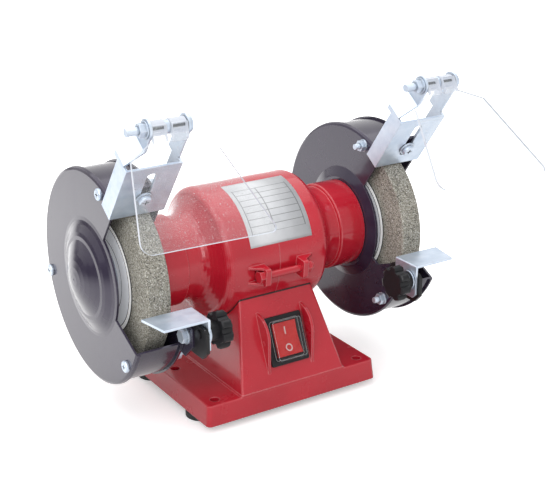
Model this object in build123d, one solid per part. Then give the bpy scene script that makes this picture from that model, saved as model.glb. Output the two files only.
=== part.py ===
from build123d import *
import math
import os

os.makedirs("parts", exist_ok=True)

# ---- main frame: X along the shaft, -Y to the front, Z up, Z 0 at the soles of the feet
SHAFT_Z = 102.5

# ---- clearances shared by all pieces
OVERRUN = 1.0
SINK = 1.0
MOVING_GAP = 0.3
SCREW_HOLE_GAP = 0.1
CORE_GAP = 0.05

# ---- base casting
BASE_LENGTH = 138.0
BASE_DEPTH = 130.0
BASE_WALL = 3.5
SKIRT_Z = 5.0
SKIRT_HEIGHT = 14.6
SKIRT_DRAFT = 1.3
SKIRT_CORNER = 3.5
DECK_EDGE = 0.9
DECK_Z = SKIRT_Z + SKIRT_HEIGHT
PEDESTAL_HALF_LOW = 41.8
PEDESTAL_HALF_HIGH = 29.2
PEDESTAL_FRONT_LOW = BASE_DEPTH / 2 - SKIRT_DRAFT
PEDESTAL_FRONT_HIGH = 39.6
PEDESTAL_TOP_Z = 79.5
PEDESTAL_EDGE = 1.6
ROOT_FLARE = 2.0
SADDLE_WALL = 4.5
CAVITY_EXTRA = 1.0
FACE_RUN = (PEDESTAL_FRONT_LOW - PEDESTAL_FRONT_HIGH) / (PEDESTAL_TOP_Z - DECK_Z)
FACE_LEAN = math.degrees(math.atan(FACE_RUN))
BENCH_HOLE_INSET_X = 10.5
BENCH_HOLE_INSET_Y = 9.5
BENCH_HOLE_X = BASE_LENGTH / 2 - BENCH_HOLE_INSET_X
BENCH_HOLE_Y = BASE_DEPTH / 2 - BENCH_HOLE_INSET_Y
BENCH_ROWS = (-BENCH_HOLE_Y, 0.0, BENCH_HOLE_Y)
BENCH_HOLE_RADIUS = 3.25
BOSS_RADIUS = 5.0

# ---- feet and bottom plate
FOOT_INSET_X = 11.5
FOOT_INSET_Y = 29.0
FOOT_X = BASE_LENGTH / 2 - FOOT_INSET_X
FOOT_Y = BASE_DEPTH / 2 - FOOT_INSET_Y
FOOT_RADIUS = 11.5
FOOT_PAD_HEIGHT = 4.0
FOOT_NECK_RADIUS = 10.3
FOOT_SOLE = 2.4
FOOT_SCREW_RADIUS = 1.9
FOOT_SCREW_HEAD = 3.6
FOOT_SCREW_HEAD_HEIGHT = 1.6
FOOT_SCREW_LENGTH = 9.5
PLATE_THICK = 1.5
PLATE_GAP = 0.3

# ---- cord inlet at the rear
INLET_Z = 34.0
INLET_STAND = 4.7
INLET_LENGTH = 13.6
INLET_FACE_Y = PEDESTAL_FRONT_LOW - (INLET_Z - DECK_Z) * FACE_RUN + INLET_STAND
INLET_BACK_Y = INLET_FACE_Y - INLET_LENGTH
INLET_BOSS_RADIUS = 9.5
INLET_RADIUS = 6.0
CORD_RADIUS = 3.6
GROMMET_TAIL = 3.0
GROMMET_LIP = 2.0
GROMMET_TAPER = 0.6
GROMMET_RISE = 3.2
GROMMET_EDGE = 0.8
GROMMET_MOUTH = 1.2

# ---- motor housing
CAN_RADIUS = 46.0
CAVITY_TOP_Z = SHAFT_Z - CAN_RADIUS - SADDLE_WALL
CAN_WALL = 3.0
CAN_EDGE_X = 35.0
CAN_EDGE_RADIUS = 6.5
CAN_EDGE_TURN = 78.0
CAN_EDGE_STEPS = 6
SWEEP_END_X = 56.0
SWEEP_STEPS = 8
SWEEP_POWER = 2.6
NECK_RADIUS = 31.5
NECK_START_X = 61.5
NECK_END_X = 82.0
NECK_EDGE = 0.5
GROOVE_RADIUS = 29.3
NECK_BORE_GAP = 1.5
SHELL_BORE_EDGE = 3.0
SHELL_STEP_X = 50.0
SHELL_STEP_RADIUS = 24.5
SHELL_SLOPE_X = 40.0
SHELL_SLOPE_RADIUS = 31.0
SHELL_CAN_X = 34.0
LUG_X = 15.0
LUG_THICK = 4.0
LUG_ANGLE = -6.0
LUG_STAND = 9.5
LUG_SINK = 2.2
LUG_REACH = CAN_RADIUS + LUG_STAND
LUG_ROOT = CAN_RADIUS - LUG_SINK
LUG_HALF = 6.4
LUG_EDGE = 1.8
GUSSET_THICK = 1.6
GUSSET_LENGTH = 12.0
GUSSET_TOE = 2.6
GUSSET_INSET = 1.5
TIE_RADIUS = 2.5
TIE_STAND = 4.8
TIE_REACH = CAN_RADIUS + TIE_STAND
TIE_HEX = 8.0
TIE_HEAD = 3.4
TIE_NUT = 3.8
TIE_TAIL = 6.0
MOTOR_SCREW_X = 26.0
MOTOR_SCREW_RADIUS = 2.5
MOTOR_SCREW_HEX = 8.0
MOTOR_SCREW_HEAD = 3.2
MOTOR_SCREW_LENGTH = 9.0
MOTOR_BOSS_HEIGHT = 6.0

# ---- motor internals
CORE_HALF = 20.0
ROTOR_RADIUS = 24.0
AIR_GAP = 0.5
CORE_SLOTS = 12
CORE_SLOT_RADIUS = 3.0
CORE_SLOT_REACH = 4.0
WINDING_INNER = 28.0
WINDING_OUTER = 37.5
WINDING_LENGTH = 11.0
WINDING_EDGE = 3.0
WINDING_CROWN = 2.0
BEARING_OUTER = 17.5
BEARING_INNER = 7.5
BEARING_WIDTH = 11.0
BEARING_X = 66.0
BALL_RADIUS = 2.6
BALL_CIRCLE = 12.5
BALL_COUNT = 8
BALL_GAP = 0.05
RACE_OFFSET = 1.8
CAPACITOR_RADIUS = 11.0
CAPACITOR_HALF = 20.0
CAPACITOR_Y = 28.0
CAPACITOR_EDGE = 1.0
CAPACITOR_STUD = 2.0
CAPACITOR_STUD_LENGTH = 5.0
END_RING = 3.0
END_RING_STEP = 4.0

# ---- shaft, wheels and flanges
SHAFT_RADIUS = 8.5
ARBOR_RADIUS = 6.35
ARBOR_SHOULDER_X = 85.0
SHAFT_END_X = 122.0
SHAFT_EDGE = 1.0
WHEEL_RADIUS = 62.5
WHEEL_EDGE = 0.8
WHEEL_INNER_X = 92.0
WHEEL_THICK = 16.0
WHEEL_OUTER_X = WHEEL_INNER_X + WHEEL_THICK
WHEEL_BORE_GAP = 0.1
BLOTTER_RADIUS = 40.0
BLOTTER_THICK = 0.6
FLANGE_RADIUS = 21.0
FLANGE_THICK = 3.4
FLANGE_HUB = 11.0
FLANGE_EDGE = 1.0
FLANGE_LAND = 4.0
FLANGE_RECESS = 0.8
FLANGE_RIM = 1.4
FLANGE_SLOPE = 6.0
NUT_HEX = 19.0
NUT_THICK = 8.0
NUT_CHAMFER = 1.4

# ---- wheel guards
GUARD_INNER_X = 85.0
GUARD_OUTER_X = 119.0
GUARD_CLEARANCE = 10.5
GUARD_RADIUS = WHEEL_RADIUS + GUARD_CLEARANCE
SHEET = 1.5
BAND_OUTER = GUARD_RADIUS - SHEET
BAND_INNER = BAND_OUTER - SHEET
BAND_GAP = 0.1
LIP_LENGTH = 3.0
LIP_ROUND = 2.2
LIP_MIDDLE = 0.65
MOUTH_RADIUS = 40.5
MOUTH_TOP = 54.0
MOUTH_BOTTOM = -26.0
MOUTH_STEPS = 16
DOME_SHOULDER = 4.6
DOME_HEIGHT = 11.5
DOME_CREASE = 25.5
DOME_STEPS = 6
SHEET_FLANK = 0.6
PLATE_BORE = 13.0
PLATE_FACE_RADIUS = 33.5
PLATE_RISE_RADIUS = 41.0
SCREW_CLEARANCE = 4.5
SCREW_CIRCLE = WHEEL_RADIUS + SCREW_CLEARANCE
SCREW_ANGLES = (70.0, 194.5, 318.5)
SCREW_RADIUS = 2.0
SCREW_HEAD = 4.0
SCREW_HEAD_HEIGHT = 2.3
SCREW_HEAD_ROUND = 1.2
SCREW_TAIL = 8.0
CROSS_LENGTH = 3.6
CROSS_WIDTH = 0.8
CROSS_DEPTH = 1.3
COVER_WASHER_RADIUS = 4.4
COVER_WASHER_THICK = 0.9
COVER_NUT_HEX = 7.0
COVER_NUT_THICK = 3.2
MOUNT_CIRCLE = 25.0
MOUNT_ANGLES = (30.0, 150.0, 270.0)
MOUNT_HEAD_RADIUS = 3.4
MOUNT_HEAD_HEIGHT = 2.0
MOUNT_SCREW_DEPTH = 7.0

# ---- shield bracket, sheet local frame: reach along the mouth's upper edge, t forward of it
BRACKET_X = 102.0
BRACKET_HALF = 19.0
BRACKET_DEPTH = 12.5
TAB_HALF = 10.5
CLAMP_RISE = 10.2
CLAMP_REACH = BAND_OUTER + CLAMP_RISE
TAB_MARGIN = 8.3
TAB_REACH = CLAMP_REACH + TAB_MARGIN
SLOT_BELOW = 7.7
SLOT_ABOVE = 23.3
SLOT_LOW = CLAMP_REACH - SLOT_BELOW
SLOT_HIGH = CLAMP_REACH + SLOT_ABOVE
SLOT_HALF = 3.2
BRACKET_FOOT = 9.5
BRACKET_HEAD = 6.0
BRACKET_LOW = SLOT_LOW - BRACKET_FOOT
BRACKET_HIGH = SLOT_HIGH + BRACKET_HEAD
CLAMP_RADIUS = 2.5
CLAMP_TAIL = 5.0
CLAMP_WASHER_RADIUS = 5.4
WASHER_THICK = 1.0
CLAMP_HEAD_RADIUS = 4.2
CLAMP_HEAD_HEIGHT = 2.8
CLAMP_HEAD_ROUND = 1.2
CLAMP_CROSS_LENGTH = 4.4
CLAMP_CROSS_WIDTH = 0.9
CLAMP_CROSS_DEPTH = 1.2
CLAMP_NUT_HEX = 8.0
CLAMP_NUT_THICK = 4.0
EAR_RADIUS = 6.5
EAR_ROOT = 3.0
EAR_STEP_LOW = 1.0
EAR_STEP_HIGH = 11.0
EAR_BEND = 0.8
AXLE_RISE = 23.7
AXLE_REACH = BRACKET_HIGH + AXLE_RISE
AXLE_BACK = 9.0
AXLE_RADIUS = 2.5
AXLE_TAIL = 2.0
AXLE_HEAD_RADIUS = 5.6
AXLE_HEAD_HEIGHT = 2.4
AXLE_HEAD_ROUND = 1.1
AXLE_NUT_HEX = 8.0
AXLE_NUT_THICK = 4.0
AXLE_WASHER_RADIUS = 5.4
COLLAR_RADIUS = 4.2
COLLAR_X = 3.4
COLLAR_LENGTH = 3.2
LEFT_EAR_X = -8.0
AXLE_FIT = 0.08

# ---- clear eye shield, local frame: s downward from the axle, n forward
SHIELD_THICK = 2.0
SHIELD_OFFSET = 4.0
SHIELD_LEFT = 22.0
SHIELD_LEFT_TOP = 17.0
SHIELD_LEFT_DROP = 73.0
SHIELD_RIGHT = 74.0
SHIELD_RIGHT_DROP = 75.0
SHIELD_BEND_X = 37.0
SHIELD_BEND_DROP = 16.5
SHIELD_CROWN_RIGHT = 17.0
SHIELD_CROWN_LEFT = 9.0
SHIELD_CROWN_DROP = 8.0
SHIELD_LEFT_CORNER = 9.0
SHIELD_RIGHT_CORNER = 3.0
KNUCKLE_RADIUS = 4.8
WEB_HEIGHT = 2.0
WEB_FRONT = 3.0
WEB_LOW = 4.0
WEB_DROP = 9.0
LEFT_SHIELD_TILT = 9.0
RIGHT_SHIELD_TILT = 30.0

# ---- tool rests
REST_TOP_Z = 97.0
REST_THICK = 1.6
REST_BACK_Y = -69.0
REST_FRONT_Y = -91.5
REST_FLANGE_LOW_Z = 73.0
REST_FLANGE_CORNER = 3.0
REST_TIP_X = 116.5
REST_TIP_TAPER = 4.0
REST_BEND = 1.2
SUPPORT_THICK = 2.5
SUPPORT_X = GUARD_INNER_X - SUPPORT_THICK
SUPPORT_BACK_Y = -60.5
SUPPORT_FRONT_Y = -93.5
SUPPORT_TOP_Z = 90.5
SUPPORT_LOW_Z = 69.5
SUPPORT_CORNER = 2.5
SUPPORT_CHAMFER = 5.5
KNOB_Y = -84.0
KNOB_Z = 85.0
STUD_RADIUS = 3.0
SLOT_BACK_Y = -76.5
SLOT_FRONT_Y = -89.6
PIVOT_WASHER_RADIUS = 7.0
KNOB_HUB_RADIUS = 6.2
KNOB_HUB_LENGTH = 5.5
KNOB_HEAD_LENGTH = 7.5
KNOB_RADIUS = 9.6
KNOB_LOBES = 7
LOBE_RADIUS = 2.9
KNOB_CROWN = 2.2
KNOB_CROWN_ROUND = 1.8
KNOB_EDGE = 1.0
STUD_END = 1.0
REST_BOLT_Y = -70.5
REST_BOLT_Z = 79.5
SUPPORT_EAR = ((30.5, -1.5), (26.5, 2.7), (12.5, 8.0), (-6.0, 8.5), (-8.0, 6.5), (-8.0, -5.5),
               (2.5, -15.5), (10.5, -13.5))
REST_WASHER_RADIUS = 5.6
REST_BOLT_HEX = 8.0
REST_BOLT_HEAD = 3.4

# ---- rocker switch, local frame on the leaning front face
SWITCH_Z = 48.2
SWITCH_FIT = 0.2
BEZEL_WIDTH = 30.0
BEZEL_HEIGHT = 34.0
BEZEL_THICK = 1.8
BEZEL_CORNER = 1.2
BEZEL_EDGE = 0.5
BODY_WIDTH = 26.4
BODY_HEIGHT = 30.4
BODY_DEPTH = 17.0
TERMINAL_LENGTH = 7.0
TERMINAL_WIDTH = 6.0
TERMINAL_THICK = 0.8
TERMINAL_X = 5.0
ROCKER_WIDTH = 18.6
ROCKER_HALF = 11.6
ROCKER_CROWN = 3.4
ROCKER_SADDLE = 1.8
ROCKER_SHOULDER = 2.2
ROCKER_SHOULDER_UP = 6.0
ROCKER_ROOT = 2.5
ROCKER_HEEL_UP = 5.5
ROCKER_HEEL = 8.0
ROCKER_TILT = 6.0
WELL_WIDTH = 19.6
WELL_HEIGHT = 25.0
WELL_DEPTH = 10.5
CAP_WIDTH = 24.5
CAP_HEIGHT = 29.0
CAP_RISE = 5.6
CAP_WALL = 1.0
CAP_CORNER = 2.5
CAP_INNER_CORNER = 1.6
CAP_ROUND = 1.4
CHEEK_X = 16.6
CHEEK_THICK = 2.0
CHEEK_BELOW = 19.2
CHEEK_BEND = 1.8
CHEEK_ABOVE = 20.3
CHEEK_SINK = 1.5
CHEEK_CURVE_RUN = 2.9
CHEEK_CURVE_RISE = 11.0


# ---------------------------------------------------------------- shared shapes
def at_shaft(shape):
    return Pos(0, 0, SHAFT_Z) * shape


def outline_of(points):
    area = 0
    for (ax, ay), (bx, by) in zip(points, points[1:] + points[:1]):
        area += ax * by - bx * ay
    ordered = points if area > 0 else points[::-1]
    return Polygon(*ordered, align=None)


def yz_plane(x, y, z):
    return Plane(origin=(x, y, z), x_dir=(0, 1, 0), z_dir=(1, 0, 0))


def yz_prism(points, x_low, x_high):
    return extrude(yz_plane(x_low, 0, 0) * outline_of(points), amount=x_high - x_low)


def turned(points):
    outline = Polygon(*points, align=None)
    return at_shaft(revolve(outline, axis=Axis.X))


def rod_x(radius, x_low, x_high, y, z):
    return extrude(yz_plane(x_low, y, z) * Circle(radius), amount=x_high - x_low)


def rod_z(radius, z_low, z_high, x, y):
    return Pos(x, y, z_low) * extrude(Circle(radius), amount=z_high - z_low)


def hexagon(across):
    return RegularPolygon(across / math.sqrt(3), 6)


def hex_x(across, x_low, x_high, y, z):
    return extrude(yz_plane(x_low, y, z) * hexagon(across), amount=x_high - x_low)


def ring_point(radius, angle):
    turn = math.radians(angle)
    return (-radius * math.cos(turn), SHAFT_Z + radius * math.sin(turn))


def flipped(shape):
    return mirror(shape, about=Plane.YZ)


def slab(length, depth, z_low, z_high, corner):
    outline = Plane.XY.offset(z_low) * RectangleRounded(length, depth, corner)
    return extrude(outline, amount=z_high - z_low)


def save(shapes, name):
    group = shapes if isinstance(shapes, list) else [shapes]
    solids = []
    for shape in group:
        solids.extend(shape.solids())
    export_step(Compound(children=solids), os.path.join("parts", name + ".step"))


# ---------------------------------------------------------------- base casting
def face_y(z):
    return -(PEDESTAL_FRONT_LOW - (z - DECK_Z) * FACE_RUN)


def frustum(half_low, half_high, front_low, front_high, z_low, z_high, corner):
    low = Plane.XY.offset(z_low) * RectangleRounded(2 * half_low, 2 * front_low, corner)
    high = Plane.XY.offset(z_high) * RectangleRounded(2 * half_high, 2 * front_high, corner)
    return loft([low.face(), high.face()])


def switch_plane():
    lean = math.radians(FACE_LEAN)
    normal = (0, -math.cos(lean), math.sin(lean))
    return Plane(origin=(0, face_y(SWITCH_Z), SWITCH_Z), x_dir=(1, 0, 0), z_dir=normal)


def cheek():
    start_z = SWITCH_Z - CHEEK_BELOW
    bend_z = SWITCH_Z + CHEEK_BEND
    end_z = SWITCH_Z + CHEEK_ABOVE
    front = face_y(start_z)
    rise = Line((front, start_z), (front, bend_z))
    back = (face_y(end_z), end_z)
    middle = (front + CHEEK_CURVE_RUN, bend_z + CHEEK_CURVE_RISE)
    curve = ThreePointArc((front, bend_z), middle, back)
    inner_high = (face_y(end_z) + CHEEK_SINK, end_z)
    inner_low = (front + CHEEK_SINK, start_z)
    close = Polyline(back, inner_high, inner_low, (front, start_z))
    outline = make_face(Curve() + [rise, curve, close])
    return extrude(yz_plane(CHEEK_X, 0, 0) * outline, amount=CHEEK_THICK)


def foot_spots():
    return {"front_left": (-FOOT_X, -FOOT_Y), "front_right": (FOOT_X, -FOOT_Y),
            "rear_left": (-FOOT_X, FOOT_Y), "rear_right": (FOOT_X, FOOT_Y)}


def bench_spots():
    return [(x, y) for x in (-BENCH_HOLE_X, BENCH_HOLE_X) for y in BENCH_ROWS]


def skirt():
    low = Plane.XY.offset(SKIRT_Z) * RectangleRounded(BASE_LENGTH, BASE_DEPTH, SKIRT_CORNER)
    top_length = BASE_LENGTH - 2 * SKIRT_DRAFT
    top_depth = BASE_DEPTH - 2 * SKIRT_DRAFT
    high = Plane.XY.offset(DECK_Z) * RectangleRounded(top_length, top_depth, SKIRT_CORNER)
    block = loft([low.face(), high.face()])
    return fillet(block.faces().sort_by(Axis.Z)[-1].edges(), DECK_EDGE)


def base_cavity():
    inner_length = BASE_LENGTH - 2 * BASE_WALL
    inner_depth = BASE_DEPTH - 2 * BASE_WALL
    ceiling = DECK_Z - BASE_WALL
    tray = slab(inner_length, inner_depth, SKIRT_Z - OVERRUN, ceiling, SKIRT_CORNER)
    part = (CAVITY_TOP_Z - DECK_Z) / (PEDESTAL_TOP_Z - DECK_Z)
    half_top = PEDESTAL_HALF_LOW - (PEDESTAL_HALF_LOW - PEDESTAL_HALF_HIGH) * part
    front_top = PEDESTAL_FRONT_LOW - (PEDESTAL_FRONT_LOW - PEDESTAL_FRONT_HIGH) * part
    wall = BASE_WALL + CAVITY_EXTRA
    chimney = frustum(PEDESTAL_HALF_LOW - BASE_WALL, half_top - BASE_WALL, PEDESTAL_FRONT_LOW - wall,
                      front_top - wall, ceiling - SINK / 2, CAVITY_TOP_Z, PEDESTAL_EDGE)
    return tray + chimney


def base_casting():
    pedestal = frustum(PEDESTAL_HALF_LOW, PEDESTAL_HALF_HIGH, PEDESTAL_FRONT_LOW,
                       PEDESTAL_FRONT_HIGH, DECK_Z, PEDESTAL_TOP_Z, PEDESTAL_EDGE)
    root = frustum(PEDESTAL_HALF_LOW + ROOT_FLARE, PEDESTAL_HALF_LOW, PEDESTAL_FRONT_LOW,
                   PEDESTAL_FRONT_LOW, DECK_Z - SINK, DECK_Z + SINK, PEDESTAL_EDGE)
    body = skirt() + pedestal + root
    body += cheek()
    body += flipped(cheek())
    body -= base_cavity()
    inlet = Plane(origin=(0, INLET_BACK_Y, INLET_Z), x_dir=(1, 0, 0), z_dir=(0, 1, 0))
    body += extrude(inlet * Circle(INLET_BOSS_RADIUS), amount=INLET_LENGTH)
    plate_top = SKIRT_Z + PLATE_THICK
    screw_end = FOOT_SOLE + FOOT_SCREW_HEAD_HEIGHT + FOOT_SCREW_LENGTH + OVERRUN
    for x, y in foot_spots().values():
        body += rod_z(BOSS_RADIUS, plate_top, DECK_Z - SINK, x, y)
        body -= rod_z(FOOT_SCREW_RADIUS, SKIRT_Z, screw_end, x, y)
    for x, y in bench_spots():
        body -= rod_z(BENCH_HOLE_RADIUS, SKIRT_Z, DECK_Z + OVERRUN, x, y)
    body -= rod_x(CAN_RADIUS, -BASE_LENGTH / 2, BASE_LENGTH / 2, 0, SHAFT_Z)
    opening = Rectangle(BODY_WIDTH + 2 * SWITCH_FIT, BODY_HEIGHT + 2 * SWITCH_FIT)
    window_depth = BODY_DEPTH + TERMINAL_LENGTH + OVERRUN
    window = switch_plane().offset(-window_depth)
    body -= extrude(window * opening, amount=window_depth + OVERRUN)
    throat = INLET_LENGTH + GROMMET_LIP + OVERRUN
    body -= extrude(inlet.offset(-GROMMET_LIP) * Circle(INLET_RADIUS), amount=throat)
    for x in (-MOTOR_SCREW_X, MOTOR_SCREW_X):
        hole = MOTOR_SCREW_RADIUS + SCREW_HOLE_GAP
        body -= rod_z(hole, CAVITY_TOP_Z - OVERRUN, CAVITY_TOP_Z + MOTOR_SCREW_LENGTH, x, 0)
    return body


def bottom_plate():
    length = BASE_LENGTH - 2 * BASE_WALL - 2 * PLATE_GAP
    depth = BASE_DEPTH - 2 * BASE_WALL - 2 * PLATE_GAP
    top = SKIRT_Z + PLATE_THICK
    plate = slab(length, depth, SKIRT_Z, top, SKIRT_CORNER)
    for x, y in bench_spots():
        plate -= rod_z(BENCH_HOLE_RADIUS, SKIRT_Z - OVERRUN, top + OVERRUN, x, y)
    for x, y in foot_spots().values():
        plate -= rod_z(FOOT_SCREW_RADIUS + SCREW_HOLE_GAP, SKIRT_Z - OVERRUN, top + OVERRUN, x, y)
    return plate


def foot(x, y):
    bore = FOOT_SCREW_RADIUS + SCREW_HOLE_GAP
    pocket = FOOT_SCREW_HEAD + SCREW_HOLE_GAP
    pocket_top = FOOT_SOLE + FOOT_SCREW_HEAD_HEIGHT
    outline = outline_of([(0, 0), (FOOT_RADIUS, 0), (FOOT_RADIUS, FOOT_PAD_HEIGHT),
                          (FOOT_NECK_RADIUS, FOOT_PAD_HEIGHT), (FOOT_NECK_RADIUS, SKIRT_Z),
                          (bore, SKIRT_Z), (bore, pocket_top), (pocket, pocket_top),
                          (pocket, FOOT_SOLE), (0, FOOT_SOLE)])
    pad = revolve(Plane.XZ * outline, axis=Axis.Z)
    return Pos(x, y, 0) * pad


def foot_screw(x, y):
    seat = FOOT_SOLE + FOOT_SCREW_HEAD_HEIGHT
    head = rod_z(FOOT_SCREW_HEAD, FOOT_SOLE, seat, x, y)
    return head + rod_z(FOOT_SCREW_RADIUS, seat, seat + FOOT_SCREW_LENGTH, x, y)


def motor_screw(x):
    head_z = CAVITY_TOP_Z - MOTOR_SCREW_HEAD
    head = Pos(x, 0, head_z) * extrude(hexagon(MOTOR_SCREW_HEX), amount=MOTOR_SCREW_HEAD)
    return head + rod_z(MOTOR_SCREW_RADIUS, CAVITY_TOP_Z, CAVITY_TOP_Z + MOTOR_SCREW_LENGTH, x, 0)


def cord_grommet():
    tail = INLET_BACK_Y - GROMMET_TAIL
    crown = INLET_FACE_Y + GROMMET_RISE
    outer = INLET_RADIUS + GROMMET_LIP
    outline = outline_of([(CORD_RADIUS, tail), (outer - GROMMET_TAPER, tail),
                          (outer, INLET_BACK_Y), (INLET_RADIUS, INLET_BACK_Y),
                          (INLET_RADIUS, INLET_FACE_Y), (outer, INLET_FACE_Y),
                          (outer - GROMMET_TAPER, crown - GROMMET_EDGE),
                          (CORD_RADIUS + GROMMET_MOUTH, crown), (CORD_RADIUS, crown)])
    return Pos(0, 0, INLET_Z) * revolve(outline, axis=Axis.Y)


# ---------------------------------------------------------------- motor housing
def housing_curve():
    curve = [(0, CAN_RADIUS), (CAN_EDGE_X, CAN_RADIUS)]
    for step in range(1, CAN_EDGE_STEPS + 1):
        turn = math.radians(CAN_EDGE_TURN * step / CAN_EDGE_STEPS)
        curve.append((CAN_EDGE_X + CAN_EDGE_RADIUS * math.sin(turn),
                      CAN_RADIUS - CAN_EDGE_RADIUS * (1 - math.cos(turn))))
    start_x, start_radius = curve[-1]
    for step in range(1, SWEEP_STEPS + 1):
        part = step / SWEEP_STEPS
        blend = 1 - (1 - part) ** SWEEP_POWER
        curve.append((start_x + (SWEEP_END_X - start_x) * part,
                      start_radius + (GROOVE_RADIUS - start_radius) * blend))
    return curve


def shell_outline():
    neck = [(NECK_START_X - NECK_EDGE, GROOVE_RADIUS), (NECK_START_X, NECK_RADIUS - NECK_EDGE),
            (NECK_START_X + NECK_EDGE, NECK_RADIUS), (NECK_END_X - NECK_EDGE, NECK_RADIUS),
            (NECK_END_X, NECK_RADIUS - NECK_EDGE)]
    seat_low = BEARING_X - BEARING_WIDTH / 2
    seat_high = BEARING_X + BEARING_WIDTH / 2
    bore = SHAFT_RADIUS + NECK_BORE_GAP
    inner_can = CAN_RADIUS - CAN_WALL
    inner = [(NECK_END_X, bore), (seat_high, bore), (seat_high, BEARING_OUTER),
             (seat_low, BEARING_OUTER), (seat_low - SHELL_BORE_EDGE, BEARING_OUTER + NECK_EDGE),
             (SHELL_STEP_X, SHELL_STEP_RADIUS), (SHELL_SLOPE_X, SHELL_SLOPE_RADIUS),
             (SHELL_CAN_X, inner_can), (0, inner_can)]
    return housing_curve() + neck + inner


def lug_block():
    low_x = LUG_X - LUG_THICK / 2
    block = Pos(LUG_X, -(LUG_REACH + LUG_ROOT) / 2, 0)
    block = block * Box(LUG_THICK, LUG_REACH - LUG_ROOT, 2 * LUG_HALF)
    block = fillet(block.edges().filter_by(Axis.X).group_by(Axis.Y)[0], LUG_EDGE)
    heel = low_x + SINK
    toe = low_x + GUSSET_LENGTH
    for z in (-LUG_HALF, LUG_HALF - GUSSET_THICK):
        gusset = outline_of([(heel, -LUG_REACH + GUSSET_INSET), (heel, -LUG_ROOT),
                             (toe, -LUG_ROOT), (toe, -LUG_ROOT - GUSSET_TOE)])
        block += Pos(0, 0, z) * extrude(gusset, amount=GUSSET_THICK)
    return block


def lug_pair():
    front = Rot(-LUG_ANGLE, 0, 0) * lug_block()
    rear = mirror(front, about=Plane.XZ)
    return [at_shaft(front), at_shaft(rear)]


def motor_shell():
    shell = turned(shell_outline())
    for piece in lug_pair():
        shell += piece
    for y, z in tie_spots():
        reach = LUG_THICK + OVERRUN
        shell -= rod_x(TIE_RADIUS + SCREW_HOLE_GAP, LUG_X - reach, LUG_X + reach, y, z)
    low = SHAFT_Z - CAN_RADIUS
    shell += rod_z(BOSS_RADIUS, low + SINK, low + SINK + MOTOR_BOSS_HEIGHT, MOTOR_SCREW_X, 0)
    drill_top = CAVITY_TOP_Z + MOTOR_SCREW_LENGTH + SCREW_HOLE_GAP
    shell -= rod_z(MOTOR_SCREW_RADIUS, low - OVERRUN, drill_top, MOTOR_SCREW_X, 0)
    for angle in MOUNT_ANGLES:
        y, z = ring_point(MOUNT_CIRCLE, angle)
        start = NECK_END_X - MOUNT_SCREW_DEPTH - OVERRUN
        shell -= rod_x(SCREW_RADIUS, start, NECK_END_X + OVERRUN, y, z)
    return shell


def tie_spots():
    turn = math.radians(LUG_ANGLE)
    y = TIE_REACH * math.cos(turn)
    z = SHAFT_Z + TIE_REACH * math.sin(turn)
    return [(-y, z), (y, z)]


def tie_bolt(y, z):
    edge = LUG_X + LUG_THICK / 2
    bolt = rod_x(TIE_RADIUS, -edge, edge + TIE_TAIL, y, z)
    return bolt + hex_x(TIE_HEX, -edge - TIE_HEAD, -edge, y, z)


def tie_nut(y, z):
    edge = LUG_X + LUG_THICK / 2
    nut = hex_x(TIE_HEX, edge, edge + TIE_NUT, y, z)
    return nut - rod_x(TIE_RADIUS, edge - OVERRUN, edge + TIE_TAIL, y, z)


def stator_core():
    inner = ROTOR_RADIUS + AIR_GAP
    outer = CAN_RADIUS - CAN_WALL - CORE_GAP
    core = turned([(-CORE_HALF, inner), (CORE_HALF, inner), (CORE_HALF, outer), (-CORE_HALF, outer)])
    for step in range(CORE_SLOTS):
        y, z = ring_point(inner + CORE_SLOT_REACH, step * 360.0 / CORE_SLOTS)
        core -= rod_x(CORE_SLOT_RADIUS, -CORE_HALF - OVERRUN, CORE_HALF + OVERRUN, y, z)
    return core


def winding():
    low = CORE_HALF
    high = CORE_HALF + WINDING_LENGTH
    shoulder = high - WINDING_EDGE
    middle = (WINDING_INNER + WINDING_OUTER) / 2
    return turned([(low, WINDING_INNER), (low, WINDING_OUTER), (shoulder, WINDING_OUTER),
                   (high, middle + WINDING_CROWN), (high, middle - WINDING_CROWN),
                   (shoulder, WINDING_INNER)])


def bearing_outer():
    low = BEARING_X - BEARING_WIDTH / 2
    high = BEARING_X + BEARING_WIDTH / 2
    race = BALL_CIRCLE + RACE_OFFSET
    ring = turned([(low, race), (low, BEARING_OUTER), (high, BEARING_OUTER), (high, race)])
    groove = Pos(BEARING_X, BALL_CIRCLE, 0) * Circle(BALL_RADIUS + BALL_GAP)
    ring -= at_shaft(revolve(groove, axis=Axis.X))
    pieces = [ring]
    for step in range(BALL_COUNT):
        y, z = ring_point(BALL_CIRCLE, step * 360.0 / BALL_COUNT)
        pieces.append(Pos(BEARING_X, y, z) * Sphere(BALL_RADIUS))
    return pieces


def bearing_inner():
    low = BEARING_X - BEARING_WIDTH / 2
    high = BEARING_X + BEARING_WIDTH / 2
    race = BALL_CIRCLE - RACE_OFFSET
    ring = turned([(low, BEARING_INNER), (low, race), (high, race), (high, BEARING_INNER)])
    groove = Pos(BEARING_X, BALL_CIRCLE, 0) * Circle(BALL_RADIUS + 2 * BALL_GAP)
    return ring - at_shaft(revolve(groove, axis=Axis.X))


def capacitor():
    z = SKIRT_Z + PLATE_THICK + CAPACITOR_RADIUS
    can = rod_x(CAPACITOR_RADIUS, -CAPACITOR_HALF, CAPACITOR_HALF, CAPACITOR_Y, z)
    can = fillet(can.edges(), CAPACITOR_EDGE)
    stud_end = CAPACITOR_HALF + CAPACITOR_STUD_LENGTH
    return can + rod_x(CAPACITOR_STUD, CAPACITOR_HALF - SINK, stud_end, CAPACITOR_Y, z)


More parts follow.
